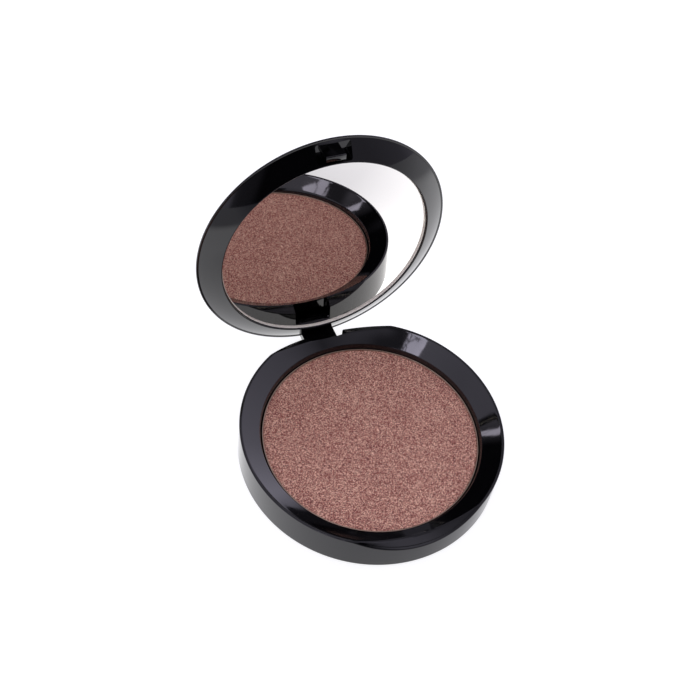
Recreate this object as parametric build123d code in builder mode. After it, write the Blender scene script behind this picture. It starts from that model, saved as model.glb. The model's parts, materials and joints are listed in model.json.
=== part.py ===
"""Round pressed-powder compact with a mirror lid, standing open.

Millimetres, +Z up. The origin is the centre of the base's underside, X runs
along the hinge pin, and +Y points to the hinge, so the front is at -Y. The base
lies flat, and the lid leans back on its open stop.
"""

import os
from math import cos, radians, sin, tan

from build123d import *

os.makedirs("parts", exist_ok=True)

# ---------------------------------------------------------------- dimensions

# Powder pan, its glue and the pressed powder. The pan is the stock part that
# the case is built around, outwards and upwards.
pan_radius = 29.7
pan_height = 4.1
pan_metal = 0.35
pan_bottom_round = 0.8
pan_gap = 0.15
pan_glue = 0.2
pan_glue_margin = 5.7
powder_below_edge = 0.15
powder_edge_round = 0.3

# Base deck: the glossy hollow ring round the powder, the step down to the pan
# and the well under it
ring_width = 4.95
ring_depth = 3.0
ring_sag = 0.25
step_width = 0.55
step_height = 1.3
step_round = 0.25
well_wall = 1.15
deck_floor = 1.0
deck_floor_lift = 0.3
deck_gap = 0.05

# Base shell: the outer cup
rim_land = 0.6
rim_round = 0.2
base_floor = 1.3
base_wall = 1.6
bottom_round = 1.2

# Flats across the base's rim, one at the front for the thumb and one at the
# back that the lid's ring swings over
flat_drop = 3.2
flat_angle = 32.2
lip_under_flat = 1.4

# Lid shell: the low cover, with a short side, a wide bevel and a shallow dome
lid_gap = 0.25
lid_height = 4.0
lid_side = 0.35
lid_bevel_rise = 2.2
lid_bevel_angle = 32.0
lid_bevel_round = 3.0
lid_wall = 1.0

# Mirror frame: the raised ring glued into the lid shell
frame_gap = 0.05
nest_drop = 0.15
nest_tip = 0.25
nest_bulge = 0.15
mirror_inset = 0.1
mirror_gap = 0.1
mirror_thickness = 1.2
mirror_edge = 0.15
mirror_recess = 0.87
tape_thickness = 0.2
tape_margin = 1.6

# Hinge: a steel pin in two ears, through the lug under the lid
open_angle = 95.0
hinge_inset = 2.0
stop_gap = 0.07
lug_width = 9.7
lug_radius = 1.55
lug_side_gap = 0.55
lug_front_gap = 0.3
notch_depth = 3.1
ear_width = 4.1
ear_front = 0.55
ear_top_gap = 0.15
pin_radius = 0.6
pin_length = 18.0
pin_running_gap = 0.05
pin_press_gap = 0.01

# Snap catch: a hook in the lid's ring bites under a nib in the base's ring
catch_width = 8.0
catch_front = 2.9
catch_sink = 0.2
nib_width = 5.0
nib_reach = 0.6
nib_edge = 0.15
nib_slope = 0.3
hook_width = 5.4
hook_thickness = 1.15
hook_side_gap = 0.12
hook_tip_gap = 0.25
barb_reach = 0.4
barb_height = 0.6
barb_nose = 0.2
barb_gap = 0.15
pocket_width = 9.8
pocket_roof = 0.5
pocket_outer_lip = 0.6
pocket_inner_lip = 0.45

# ------------------------------------------------------------- derived sizes

# Heights of the base, from the table up
well_floor_z = base_floor + deck_floor_lift + deck_floor
pan_floor_z = well_floor_z + pan_glue
pan_top_z = pan_floor_z + pan_height
ring_inner_z = pan_top_z + step_height
base_height = ring_inner_z + ring_depth
ledge_z = base_height - flat_drop - lip_under_flat

# Radii of the base, from the middle out
well_radius = pan_radius + pan_gap
ring_inner_radius = well_radius + step_width
deck_radius = ring_inner_radius + ring_width
deck_seat_radius = deck_radius + deck_gap
case_radius = deck_seat_radius + rim_land

# Hinge axis. Open, the lug's back face lies on the back edge of the base's
# floor, which is the stop, and that settles the height of the pin.
lean = radians(open_angle - 90)
hinge_y = case_radius - hinge_inset
hinge_z = base_floor + stop_gap + lug_radius / cos(lean) + hinge_inset * tan(lean)
notch_width = lug_width + 2 * lug_side_gap
notch_front_y = case_radius - notch_depth

# The lid's own frame: origin in the middle of its rim, Y to the hinge and Z
# out through the cover. It is laid out closed, then swung open about the pin.
closed_z = base_height + lid_gap
swing = radians(-open_angle)
arm_y = -hinge_y
arm_z = closed_z - hinge_z
lid_frame = Plane(
    origin=(
        0,
        hinge_y + arm_y * cos(swing) - arm_z * sin(swing),
        hinge_z + arm_y * sin(swing) + arm_z * cos(swing),
    ),
    x_dir=(1, 0, 0),
    z_dir=(0, -sin(swing), cos(swing)),
)
lid_section = Plane(origin=lid_frame.origin, x_dir=lid_frame.y_dir, z_dir=lid_frame.x_dir)
lid_axis = Axis(lid_frame.origin, lid_frame.z_dir)

# Heights in the lid's frame, where the base lies below zero
pin_in_lid_z = hinge_z - closed_z
nest_rise = ring_depth + nest_drop
mirror_face_z = mirror_recess - nest_rise
mirror_back_z = mirror_face_z + mirror_thickness
frame_floor_z = mirror_back_z + tape_thickness
mirror_radius = pan_radius - mirror_inset
mirror_well_radius = mirror_radius + mirror_gap
tape_radius = mirror_radius - tape_margin
lid_seat_radius = case_radius - rim_land

# Cover: its bevel outside and the hollow that follows it inside
shelf_radius = case_radius - lid_bevel_rise / tan(radians(lid_bevel_angle))
hollow_rise = lid_bevel_rise - lid_wall
hollow_radius = case_radius - lid_wall / sin(radians(lid_bevel_angle))
hollow_shelf_radius = hollow_radius - hollow_rise / tan(radians(lid_bevel_angle))
frame_radius = lid_seat_radius - frame_gap

# Catch, in the lid's frame for the hook and the base's for the nib
catch_front_y = catch_front - case_radius
catch_floor_z = ring_inner_z - catch_sink
nib_tip_y = catch_front_y + nib_reach
nib_z = catch_floor_z + hook_tip_gap + barb_height + barb_gap
hook_front_y = nib_tip_y + hook_side_gap
hook_back_y = hook_front_y + hook_thickness
hook_tip_z = catch_floor_z + hook_tip_gap - closed_z
pocket_roof_z = lid_side - pocket_roof


def cut_rim_flats():
    """Cut the front and the back flat off the rim of the part being built."""
    rise = case_radius * tan(radians(flat_angle))
    flat_z = base_height - flat_drop
    with BuildSketch(Plane.YZ) as flats:
        with BuildLine():
            Polyline(
                (0, flat_z + rise),
                (-2 * case_radius, flat_z + rise),
                (-2 * case_radius, flat_z - rise),
                close=True,
            )
        make_face()
        mirror(about=Plane.YZ)
    extrude(flats.sketch, amount=case_radius, both=True, mode=Mode.SUBTRACT)


def draw_crown(radius, shelf, height, rise):
    """Draw half of the cover's outline: a straight side, a bevel up to a shelf
    and a shallow dome that runs level over the middle."""
    climb = height - lid_side - rise
    dome = (shelf**2 + climb**2) / (2 * climb)
    bevel = Polyline((0, 0), (radius, 0), (radius, lid_side), (shelf, lid_side + rise))
    top = RadiusArc(bevel @ 1, (0, height), -dome)
    Line(top @ 1, bevel @ 0)


# ---------------------------------------------------------------------- base

# Outer cup, with a ledge for the deck and the hinge's two ears moulded in
ear_front_y = notch_front_y - ear_front
ear_span = notch_width + 2 * ear_width
with BuildPart() as base_shell:
    with BuildSketch(Plane.XY):
        Circle(case_radius)
    extrude(amount=base_height)
    fillet(base_shell.edges().group_by(Axis.Z)[0], bottom_round)
    fillet(base_shell.edges().group_by(Axis.Z)[-1], rim_round)
    with BuildSketch(Plane.XY.offset(base_floor)):
        Circle(case_radius - base_wall)
    extrude(amount=base_height, mode=Mode.SUBTRACT)
    with BuildSketch(Plane.XY.offset(ledge_z)):
        Circle(deck_seat_radius)
    extrude(amount=base_height, mode=Mode.SUBTRACT)
    with BuildSketch(Plane.XY.offset(base_floor)):
        with Locations((0, ear_front_y)):
            Rectangle(
                ear_span,
                case_radius - base_wall - ear_front_y,
                align=(Align.CENTER, Align.MIN),
            )
    extrude(amount=ledge_z - ear_top_gap - base_floor)
    cut_rim_flats()
    with BuildSketch(Plane.XY.offset(base_floor)):
        with Locations((0, ear_front_y)):
            Rectangle(notch_width, case_radius, align=(Align.CENTER, Align.MIN))
    extrude(amount=base_height, mode=Mode.SUBTRACT)
    with BuildSketch(Plane.YZ.offset(-pin_length / 2)):
        with Locations((hinge_y, hinge_z)):
            Circle(pin_radius + pin_press_gap)
    extrude(amount=2 * case_radius, mode=Mode.SUBTRACT)

base_shell.part.label = "base_shell"
export_step(base_shell.part, "parts/base_shell.step")

# Deck: the hollow ring that slopes down to the pan, the well under it, the
# notch for the lug and the sunk seat of the catch with its nib
with BuildPart() as base_deck:
    with BuildSketch(Plane.YZ) as deck_profile:
        with BuildLine():
            slope = SagittaArc(
                (deck_radius, base_height),
                (ring_inner_radius, ring_inner_z),
                ring_sag,
            )
            Polyline(
                slope @ 1,
                (well_radius, pan_top_z),
                (well_radius, well_floor_z),
                (0, well_floor_z),
                (0, well_floor_z - deck_floor),
                (well_radius + well_wall, well_floor_z - deck_floor),
                (well_radius + well_wall, ledge_z),
                (deck_radius, ledge_z),
                slope @ 0,
            )
        make_face()
        step_corner = deck_profile.vertices().sort_by_distance((ring_inner_radius, ring_inner_z))
        fillet(step_corner[0], step_round)
    revolve(axis=Axis.Z)
    cut_rim_flats()
    with BuildSketch(Plane.XY.offset(ledge_z)):
        with Locations((0, notch_front_y)):
            Rectangle(notch_width, case_radius, align=(Align.CENTER, Align.MIN))
    extrude(amount=base_height, mode=Mode.SUBTRACT)
    with BuildSketch(Plane.XY.offset(catch_floor_z)):
        with Locations((0, catch_front_y)):
            Rectangle(catch_width, case_radius / 2, align=(Align.CENTER, Align.MIN))
    extrude(amount=base_height, mode=Mode.SUBTRACT)
    with BuildSketch(Plane.YZ):
        with BuildLine():
            Polyline(
                (catch_front_y, nib_z),
                (nib_tip_y, nib_z),
                (nib_tip_y, nib_z + nib_edge),
                (catch_front_y, nib_z + nib_edge + nib_slope),
                close=True,
            )
        make_face()
    extrude(amount=nib_width / 2, both=True)

base_deck.part.label = "base_deck"
export_step(base_deck.part, "parts/base_deck.step")

# Glue that holds the pan in the well
with BuildPart() as pan_glue_pad:
    with BuildSketch(Plane.XY.offset(well_floor_z)):
        Circle(pan_radius - pan_glue_margin)
    extrude(amount=pan_glue)

pan_glue_pad.part.label = "pan_glue_pad"
export_step(pan_glue_pad.part, "parts/pan_glue_pad.step")

# Drawn metal pan
with BuildPart() as powder_pan:
    with BuildSketch(Plane.XY.offset(pan_floor_z)):
        Circle(pan_radius)
    extrude(amount=pan_height)
    fillet(powder_pan.edges().group_by(Axis.Z)[0], pan_bottom_round)
    offset(amount=-pan_metal, openings=powder_pan.faces().sort_by(Axis.Z)[-1])

powder_pan.part.label = "powder_pan"
export_step(powder_pan.part, "parts/powder_pan.step")

# Cake of pressed powder that fills the pan
with BuildPart() as pressed_powder:
    with BuildSketch(Plane.XY.offset(pan_floor_z + pan_metal)):
        Circle(pan_radius - pan_metal)
    extrude(amount=pan_height - pan_metal - powder_below_edge)
    fillet(pressed_powder.edges().group_by(Axis.Z)[0], pan_bottom_round - pan_metal)
    fillet(pressed_powder.edges().group_by(Axis.Z)[-1], powder_edge_round)

pressed_powder.part.label = "pressed_powder"
export_step(pressed_powder.part, "parts/pressed_powder.step")

# Steel pin, driven in through the side of one ear
with BuildPart() as hinge_pin:
    with BuildSketch(Plane.YZ.offset(-pin_length / 2)):
        with Locations((hinge_y, hinge_z)):
            Circle(pin_radius)
    extrude(amount=pin_length)
    chamfer(hinge_pin.edges().filter_by(GeomType.CIRCLE), pin_radius / 4)

hinge_pin.part.label = "hinge_pin"
export_step(hinge_pin.part, "parts/hinge_pin.step")

# ----------------------------------------------------------------------- lid

# Bevelled cover, with a seat for the mirror frame in its mouth
with BuildPart() as lid_shell:
    with BuildSketch(lid_section) as crown:
        with BuildLine():
            draw_crown(case_radius, shelf_radius, lid_height, lid_bevel_rise)
        make_face()
        shelf_corner = crown.vertices().sort_by_distance((shelf_radius, lid_side + lid_bevel_rise))
        fillet(shelf_corner[0], lid_bevel_round)
    revolve(axis=lid_axis)
    fillet(lid_shell.edges().sort_by(lid_axis)[0], rim_round)
    with BuildSketch(lid_section):
        with BuildLine():
            draw_crown(hollow_radius, hollow_shelf_radius, lid_height - lid_wall, hollow_rise)
        make_face()
    revolve(axis=lid_axis, mode=Mode.SUBTRACT)
    with BuildSketch(lid_frame):
        Circle(lid_seat_radius)
    extrude(amount=lid_side, mode=Mode.SUBTRACT)

lid_shell.part.label = "lid_shell"
export_step(lid_shell.part, "parts/lid_shell.step")

# Frame: the raised ring that nests in the base's ring, the pocket and hook of
# the catch, and the lug that turns on the pin
neck_front_y = notch_front_y + lug_front_gap
heel_front_y = hinge_y - lug_radius
heel_back_y = hinge_y + lug_radius
shin_z = ledge_z - closed_z
with BuildPart() as mirror_frame:
    with BuildSketch(lid_section) as frame_profile:
        with BuildLine():
            slope = SagittaArc((frame_radius, 0), (mirror_well_radius, -nest_rise), -nest_bulge)
            Polyline(
                slope @ 1,
                (mirror_well_radius, frame_floor_z),
                (0, frame_floor_z),
                (0, lid_side),
                (frame_radius, lid_side),
                slope @ 0,
            )
        make_face()
        tip_corner = frame_profile.vertices().sort_by_distance((mirror_well_radius, -nest_rise))
        fillet(tip_corner[0], nest_tip)
    revolve(axis=lid_axis)
    with BuildSketch(lid_frame.offset(pocket_roof_z)):
        with Locations((0, pocket_outer_lip - frame_radius)):
            Rectangle(
                pocket_width,
                frame_radius - pocket_outer_lip - mirror_well_radius - pocket_inner_lip,
                align=(Align.CENTER, Align.MIN),
            )
    extrude(amount=-base_height, mode=Mode.SUBTRACT)
    with BuildSketch(lid_section):
        with BuildLine():
            Polyline(
                (hook_back_y, pocket_roof_z),
                (hook_back_y, hook_tip_z),
                (hook_front_y - barb_reach + barb_nose, hook_tip_z),
                (hook_front_y - barb_reach, hook_tip_z + barb_nose),
                (hook_front_y - barb_reach, hook_tip_z + barb_height - barb_nose),
                (hook_front_y, hook_tip_z + barb_height),
                (hook_front_y, pocket_roof_z),
                close=True,
            )
        make_face()
    extrude(amount=hook_width / 2, both=True)
    with BuildSketch(lid_section):
        with BuildLine():
            Polyline(
                (heel_front_y, pin_in_lid_z),
                (heel_front_y, shin_z - lug_radius),
                (neck_front_y, shin_z - lug_front_gap),
                (neck_front_y, 0),
                (frame_radius, 0),
                (heel_back_y, -lug_radius),
                (heel_back_y, pin_in_lid_z),
                close=True,
            )
        make_face()
        with Locations((hinge_y, pin_in_lid_z)):
            Circle(lug_radius)
            Circle(pin_radius + pin_running_gap, mode=Mode.SUBTRACT)
    extrude(amount=lug_width / 2, both=True)

mirror_frame.part.label = "mirror_frame"
export_step(mirror_frame.part, "parts/mirror_frame.step")

# Double-sided tape behind the mirror
with BuildPart() as mirror_tape:
    with BuildSketch(lid_frame.offset(mirror_back_z)):
        Circle(tape_radius)
    extrude(amount=tape_thickness)

mirror_tape.part.label = "mirror_tape"
export_step(mirror_tape.part, "parts/mirror_tape.step")

# Round glass mirror
with BuildPart() as mirror_glass:
    with BuildSketch(lid_frame.offset(mirror_face_z)):
        Circle(mirror_radius)
    extrude(amount=mirror_thickness)
    chamfer(mirror_glass.edges().filter_by(GeomType.CIRCLE), mirror_edge)

mirror_glass.part.label = "mirror_glass"
export_step(mirror_glass.part, "parts/mirror_glass.step")
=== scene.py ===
"""Looks of the powder compact: gloss case, pressed powder and mirror, in a light tent."""

import json

import bpy
import numpy as np
from bpy.props import FloatProperty, FloatVectorProperty, PointerProperty
from mathutils import Matrix, Vector


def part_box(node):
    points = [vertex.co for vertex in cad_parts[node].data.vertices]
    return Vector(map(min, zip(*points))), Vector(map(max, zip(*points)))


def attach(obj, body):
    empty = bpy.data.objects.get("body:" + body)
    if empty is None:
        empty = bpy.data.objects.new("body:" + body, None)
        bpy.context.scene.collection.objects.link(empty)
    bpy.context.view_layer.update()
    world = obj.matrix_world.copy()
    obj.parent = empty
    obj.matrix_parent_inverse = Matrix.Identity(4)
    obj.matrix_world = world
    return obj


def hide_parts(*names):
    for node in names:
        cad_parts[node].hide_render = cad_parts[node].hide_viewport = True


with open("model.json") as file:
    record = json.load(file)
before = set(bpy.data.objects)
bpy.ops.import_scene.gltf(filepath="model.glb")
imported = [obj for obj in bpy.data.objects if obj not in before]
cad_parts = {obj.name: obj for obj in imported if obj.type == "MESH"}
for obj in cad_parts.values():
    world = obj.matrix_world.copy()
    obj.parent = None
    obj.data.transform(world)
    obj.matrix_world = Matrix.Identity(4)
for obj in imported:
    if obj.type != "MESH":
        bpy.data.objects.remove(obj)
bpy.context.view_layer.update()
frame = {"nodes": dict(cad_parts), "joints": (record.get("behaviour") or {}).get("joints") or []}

bl_info = {
    "name": "Powder Compact",
    "version": (1, 0, 0),
    "blender": (4, 5, 0),
    "location": "View3D > Sidebar > Compact",
    "description": "Builds a round powder compact with a mirror lid, piece by piece",
    "category": "Object",
}

MM = 0.001

# Radii and heights that the frame settles, and the hinge
HINGE = frame["joints"][0]
HINGE_Y, HINGE_Z = HINGE["pos_m"][1], HINGE["pos_m"][2]
SWING = -np.radians(HINGE["range_deg"][1])
CASE_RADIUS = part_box("base_shell")[1].x
BASE_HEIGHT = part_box("base_shell")[1].z
DECK_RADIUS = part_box("base_deck")[1].x
DECK_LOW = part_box("base_deck")[0].z
PAN_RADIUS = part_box("powder_pan")[1].x
PAN_LOW, PAN_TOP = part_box("powder_pan")[0].z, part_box("powder_pan")[1].z
CAKE_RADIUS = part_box("pressed_powder")[1].x
CAKE_LOW, CAKE_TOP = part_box("pressed_powder")[0].z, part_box("pressed_powder")[1].z
FRAME_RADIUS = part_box("mirror_frame")[1].x
MIRROR_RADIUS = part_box("mirror_glass")[1].x

# Points round a turned piece
COLUMNS = 480
# How far pieces that are joined lap into each other, and tools reach past what they
# cut, and the play that keeps a bore off its pin
LAP = 0.15 * MM
PAST = 1 * MM
PIN_PLAY = 0.01 * MM
# How far from a rounded step the slope beside it is taken, and how far inside the
# rim the edge of a flat stays
BESIDE_STEP = 0.4 * MM
INSIDE_RIM = 0.02 * MM


# ------------------------------------------------------------------ properties


def linear(code):
    """sRGB hex code to linear red, green and blue."""
    part = np.array([int(code[i : i + 2], 16) for i in (1, 3, 5)]) / 255
    return tuple(np.where(part <= 0.04045, part / 12.92, ((part + 0.055) / 1.055) ** 2.4))


def length(name, millimetres, description):
    """A length property, given in millimetres and kept in metres."""
    return FloatProperty(
        name=name,
        description=description,
        default=millimetres * MM,
        min=0,
        unit="LENGTH",
        precision=5,
    )


def angle(name, degrees, description):
    """An angle property, given in degrees and kept in radians."""
    return FloatProperty(
        name=name, description=description, default=np.radians(degrees), unit="ROTATION"
    )


def colour(name, code, description):
    """A colour property, given as an sRGB hex code."""
    return FloatVectorProperty(
        name=name, description=description, default=linear(code), subtype="COLOR", min=0, max=1
    )


class CompactBase(bpy.types.PropertyGroup):
    """Sizes of the base, its deck and what lies in it."""

    ring_depth: length("Ring depth", 3.0, "Drop of the hollow ring from the rim to the step")
    ring_width: length("Ring width", 4.95, "Width of the hollow ring, seen from above")
    ring_sag: length("Ring sag", 0.04, "How far the ring's face dips below a straight slope")
    step_width: length("Step width", 0.55, "Width of the step between the ring and the pan")
    step_height: length("Step height", 1.3, "Height of the step between the ring and the pan")
    step_round: length("Step round", 0.25, "Rounding of the step's upper corner")
    well_wall: length("Well wall", 1.15, "Wall of the well that holds the pan")
    deck_floor: length("Deck floor", 1.0, "Floor of the well")
    ledge: length("Ledge height", 6.6, "Height of the ledge that the deck stands on")
    land: length("Rim land", 0.6, "Width of the case's level rim")
    rim_round: length("Rim round", 0.2, "Rounding of the case's rim")
    floor: length("Floor", 1.3, "Floor of the case")
    wall: length("Wall", 1.6, "Wall of the case below the ledge")
    foot_round: length("Foot round", 1.2, "Rounding between the case's wall and its underside")
    foot_width: length("Foot width", 6.5, "Width of the ring that the case stands on")
    foot_recess: length("Foot recess", 0.25, "Depth of the bare panel inside the foot")
    flat_drop: length("Flat drop", 3.2, "How far the rim's flats come down at front and back")
    flat_angle: angle("Flat angle", 32.2, "Slope of the flats at front and back")
    rim_ease: length("Rim ease", 0.05, "Drop of the rounding where the ring meets the rim")
    edge: length("Edge", 0.045, "Rounding where a flat meets the ring")
    seam: length("Seam", 0.05, "Depth of the seam between the deck and the case's rim")
    notch_width: length("Notch width", 10.8, "Width of the hinge's notch")
    notch_depth: length("Notch depth", 3.1, "Depth of the hinge's notch in the deck")
    ear_span: length("Ear span", 19.0, "Width over both ears of the hinge")
    ear_front: length("Ear front", 0.55, "How far the ears stand forward of the notch")
    ear_back: length("Ear back", 0.4, "Gap between the ears and the wall behind them")
    bore_depth: length("Bore depth", 9.0, "Where the pin's blind bore ends, from the middle")
    slot_round: length("Slot round", 0.3, "Rounding of the corners of the notch and the seat")
    pin_radius: length("Pin radius", 0.6, "Radius of the hinge pin")
    seat_width: length("Catch seat width", 8.0, "Width of the catch's seat in the ring")
    seat_front: length("Catch seat front", 2.9, "Distance of the seat's front from the wall")
    seat_sink: length("Catch seat sink", 0.2, "How far the seat lies below the ring")
    nib_width: length("Nib width", 5.0, "Width of the nib that the hook bites under")
    nib_reach: length("Nib reach", 0.6, "How far the nib stands out over the seat")
    nib_height: length("Nib height", 1.0, "Height of the nib's lower face over the seat")
    nib_edge: length("Nib edge", 0.15, "Height of the nib's tip")
    nib_slope: length("Nib slope", 0.48, "Rise of the nib's lead-in slope")
    nib_root: length("Nib root", 0.5, "How far the nib reaches into the wall behind it")
    pan_metal: length("Pan metal", 0.35, "Thickness of the pan's metal")
    pan_round: length("Pan round", 0.8, "Rounding of the pan's bottom edge")
    cake_round: length("Cake round", 0.3, "Rounding of the powder's upper edge")
    cake_foot: length("Cake foot", 0.45, "Rounding of the powder's lower edge")
    grain: length("Powder grain", 0.02, "Height of the grain pressed into the powder")


class CompactLid(bpy.types.PropertyGroup):
    """Sizes of the lid, given with the lid closed and heights from its rim."""

    gap: length("Lid gap", 0.25, "Gap between the closed lid and the base")
    height: length("Lid height", 4.0, "Height of the cover")
    side: length("Lid side", 0.35, "Height of the cover's straight side")
    bevel_rise: length("Bevel rise", 2.2, "Height of the cover's bevel")
    bevel_angle: angle("Bevel angle", 32.0, "Slope of the cover's bevel")
    bevel_round: length("Bevel round", 3.0, "Rounding between the bevel and the dome")
    wall: length("Lid wall", 1.0, "Wall of the cover")
    rim_round: length("Lid rim round", 0.2, "Rounding of the cover's rim")
    land: length("Lid land", 0.6, "Width of the cover's rim round the mirror ring")
    lip_edge: length("Lip edge", 0.03, "Chamfer of the cover's rim beside the mirror ring")
    nest_rise: length("Ring rise", 3.15, "How far the mirror ring stands into the base")
    nest_bulge: length("Ring bulge", 0.15, "How far the mirror ring's face bulges")
    nest_tip: length("Ring tip", 0.25, "Rounding of the mirror ring's inner edge")
    silver_depth: length("Silver depth", 0.52, "How deep the silvering looks in the glass")
    mirror_gap: length("Mirror gap", 0.1, "Gap round the mirror")
    mirror_recess: length("Mirror recess", 0.87, "Depth of the mirror below the ring's tip")
    mirror_thickness: length("Mirror thickness", 1.2, "Thickness of the glass")
    mirror_edge: length("Mirror edge", 0.15, "Ground edge of the glass")
    mirror_tilt: angle("Mirror tilt", 1.0, "How far the glued mirror leans back at its top")
    mirror_turn: angle("Mirror turn", 0.25, "How far the glued mirror is turned to one side")
    tape: length("Tape", 0.2, "Thickness of the tape behind the mirror")
    pocket_width: length("Pocket width", 9.8, "Width of the catch's pocket")
    pocket_roof: length("Pocket roof", 0.15, "Depth of the pocket's roof below the rim")
    pocket_outer_lip: length("Outer lip", 0.6, "Wall outside the pocket")
    pocket_inner_lip: length("Inner lip", 0.45, "Wall between the pocket and the mirror")
    pocket_round: length("Pocket round", 0.6, "Rounding of the pocket's corners")
    hook_width: length("Hook width", 5.4, "Width of the hook")
    hook_front: length("Hook front", 32.38, "Distance of the hook's face from the middle")
    hook_thickness: length("Hook thickness", 1.15, "Thickness of the hook")
    hook_reach: length("Hook reach", 3.2, "How far the hook stands out of the rim")
    barb_reach: length("Barb reach", 0.4, "How far the hook's barb stands out")
    barb_height: length("Barb height", 0.6, "Height of the barb")
    barb_nose: length("Barb nose", 0.2, "Chamfer of the barb")
    hook_edge: length("Hook edge", 0.06, "Rounding of the hook's edges")
    lug_width: length("Lug width", 9.7, "Width of the hinge lug")
    lug_radius: length("Lug radius", 1.55, "Radius of the lug round the pin")
    lug_front: length("Lug front", 2.8, "Distance of the lug's neck from the case's wall")
    lug_knee: length("Lug knee", 4.85, "Drop of the rim to the lug's knee")
    lug_step: length("Lug step", 0.3, "How far the lug's neck reaches below its knee")
    lug_root: length("Lug root", 0.2, "How far the lug reaches up into the mirror ring")
    lug_edge: length("Lug edge", 0.22, "Rounding of the lug's edges")
    bore_gap: length("Bore gap", 0.05, "Gap between the pin and the lug's bore")


class CompactLooks(bpy.types.PropertyGroup):
    """Colours of the finishes."""

    plastic: colour("Case plastic", "#060607", "Black of the moulded case")
    powder: colour("Powder", "#ba6f5d", "Mean colour of the pressed powder")
    powder_dark: colour("Powder pits", "#502924", "Colour between the powder's grains")
    powder_light: colour("Powder pearl", "#ffd9b8", "Colour of the powder's pearl flakes")
    pan: colour("Pan metal", "#b09a86", "Colour of the drawn pan")
    pin: colour("Pin steel", "#a5a6a8", "Colour of the hinge pin")
    glue: colour("Glue", "#d8cfae", "Colour of the glue under the pan")
    tape: colour("Tape", "#e8e6e0", "Colour of the mirror's tape")
    silver: colour("Mirror silver", "#eae8e5", "Colour of the mirror's silvering")
    glass_edge: colour("Glass edge", "#fbf6e4", "Colour of the mirror's ground edge")


class CompactStage(bpy.types.PropertyGroup):
    """The floor, the light tent and the camera."""

    floor_radius: length("Floor radius", 6000, "Radius of the pale floor")
    floor_colour: colour("Floor", "#a8a9aa", "Colour of the pale floor")
    floor_glow: FloatProperty(
        name="Floor glow",
        description="Glow of the floor as the camera sees it",
        default=0.85,
        min=0,
    )
    camera_place: FloatVectorProperty(
        name="Camera",
        description="Where the camera stands",
        default=(-0.102386, -0.155400, 0.278864),
        subtype="TRANSLATION",
        unit="LENGTH",
    )
    camera_aim: FloatVectorProperty(
        name="Aim",
        description="Point on the floor that the camera looks at",
        default=(0.007967, 0.033617, 0.0),
        subtype="TRANSLATION",
        unit="LENGTH",
    )
    camera_roll: angle("Camera roll", 11.0, "Turn of the camera about its line of sight")
    lens: FloatProperty(
        name="Lens", description="Focal length", default=62.079, unit="CAMERA", min=1
    )


# ---------------------------------------------------------------------- shapes


def arc_height(radius, outer, inner, sag):
    """Height of a ring's face at a radius. It is an arc of a circle through the
    ring's outer and inner edges, and dips below the line between them by sag."""
    outer, inner = np.array(outer), np.array(inner)
    chord = inner - outer
    span = np.hypot(*chord)
    bow = (span**2 / 4 + sag**2) / (2 * sag)
    middle = (outer + inner) / 2 + (bow - sag) * np.array([chord[1], -chord[0]]) / span
    return middle[1] - np.sqrt(bow**2 - (radius - middle[0]) ** 2)


def lesser(one, other, radius):
    """The lesser of two heights with the corner between them rounded: half their
    sum, less the root of half their difference squared plus radius squared."""
    return (one + other) / 2 - np.sqrt(((one - other) / 2) ** 2 + radius**2)


def eased(start, stop, count):
    """Numbers from start to stop, closer together at both ends: half a cosine."""
    share = (1 - np.cos(np.linspace(0, np.pi, count))) / 2
    return start + (stop - start) * share


def corner(before, at, after, radius, count=6):
    """Points of the arc that rounds the corner between two straight lines. It
    touches both lines, and its middle lies on the line that halves the corner."""
    before, at, after = (np.array(p, float) for p in (before, at, after))
    one = (before - at) / np.hypot(*(before - at))
    two = (after - at) / np.hypot(*(after - at))
    half = np.arccos(np.clip(one @ two, -1, 1)) / 2
    middle = at + (one + two) / np.hypot(*(one + two)) * radius / np.sin(half)
    start = at + one * radius / np.tan(half) - middle
    end = at + two * radius / np.tan(half) - middle
    sweep = np.arctan2(start[0] * end[1] - start[1] * end[0], start @ end)
    turn = np.arctan2(start[1], start[0]) + np.linspace(0, sweep, count)
    return middle + radius * np.stack([np.cos(turn), np.sin(turn)], 1)


def outline(points, radii, count=6):
    """A closed outline whose corners are rounded, each by its own radius."""
    parts = [
        corner(points[i - 1], points[i], points[(i + 1) % len(points)], radii[i], count)
        if radii[i]
        else np.array([points[i]])
        for i in range(len(points))
    ]
    return np.concatenate(parts)


def add_piece(name, points, faces):
    """A mesh object from points and faces, at the origin."""
    mesh = bpy.data.meshes.new(name)
    mesh.from_pydata(points.tolist(), [], faces)
    mesh.validate()
    piece = bpy.data.objects.new(name, mesh)
    bpy.context.scene.collection.objects.link(piece)
    return piece


def turned(name, radius, height):
    """A solid turned about Z. Each row of radius and height is one angle, and the
    first and last points lie on the axis, where a fan of triangles closes them."""
    count, steps = radius.shape
    around = np.arange(count) * 2 * np.pi / count
    x = radius * np.cos(around)[:, None]
    y = radius * np.sin(around)[:, None]
    grid = np.stack([x, y, height], 2)
    inner = grid[:, 1:-1].reshape(-1, 3)
    poles = grid[0, [0, -1]]
    index = np.arange(count * (steps - 2)).reshape(count, steps - 2)
    ahead = np.roll(index, -1, 0)
    quads = np.stack([index[:, :-1], ahead[:, :-1], ahead[:, 1:], index[:, 1:]], 2).reshape(-1, 4)
    first, last = len(inner), len(inner) + 1
    low = np.stack([np.full(count, first), ahead[:, 0], index[:, 0]], 1)
    high = np.stack([np.full(count, last), index[:, -1], ahead[:, -1]], 1)
    faces = quads.tolist() + low.tolist() + high.tolist()
    return add_piece(name, np.concatenate([inner, poles]), faces)


def same_all_round(profile):
    """The same profile at every angle, as rows of radius and rows of height."""
    profile = np.array(profile, float)
    return np.tile(profile[:, 0], (COLUMNS, 1)), np.tile(profile[:, 1], (COLUMNS, 1))


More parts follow.
